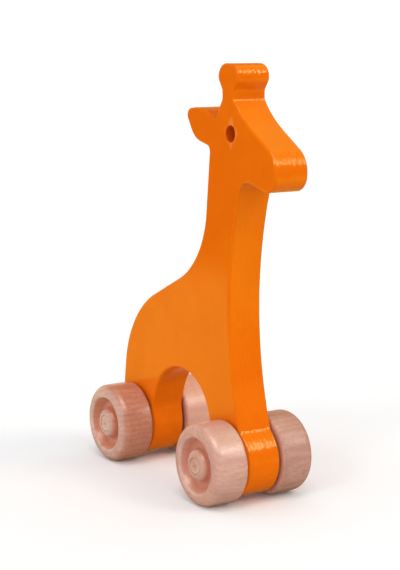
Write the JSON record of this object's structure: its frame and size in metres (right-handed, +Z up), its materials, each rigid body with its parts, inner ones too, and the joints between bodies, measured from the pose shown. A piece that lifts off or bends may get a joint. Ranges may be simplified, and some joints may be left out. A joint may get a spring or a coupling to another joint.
{
  "type": "wheeled giraffe toy",
  "caption": "Push-along wooden giraffe sawn from a painted board, with an open arch between its legs, on turned beech wheels that spin in pairs with their axles.",
  "frame": {"origin": "on the floor, under the middle of the toy's box", "axes": "+X forward, the way the giraffe looks; +Y to the giraffe's left, along the axles; +Z up"},
  "size_m": [0.1396, 0.0556, 0.205],
  "materials": {
    "painted_board": "gloss orange paint",
    "beech_dowel": "satin",
    "beech_wheel": "satin"
  },
  "bodies": {
    "giraffe": {"body": "painted_board"},
    "front_wheelset": {"front_axle": "beech_dowel", "front_right_wheel": "beech_wheel", "front_left_wheel": "beech_wheel"},
    "rear_wheelset": {"rear_axle": "beech_dowel", "rear_right_wheel": "beech_wheel", "rear_left_wheel": "beech_wheel"}
  },
  "joints": [
    {"name": "front_axle_spin", "type": "hinge", "parent": "giraffe", "child": "front_wheelset", "pos_m": [0.03535, 0, 0.0196], "axis": [0, 1, 0], "continuous": true},
    {"name": "rear_axle_spin", "type": "hinge", "parent": "giraffe", "child": "rear_wheelset", "pos_m": [-0.05025, 0, 0.0196], "axis": [0, 1, 0], "continuous": true}
  ]
}
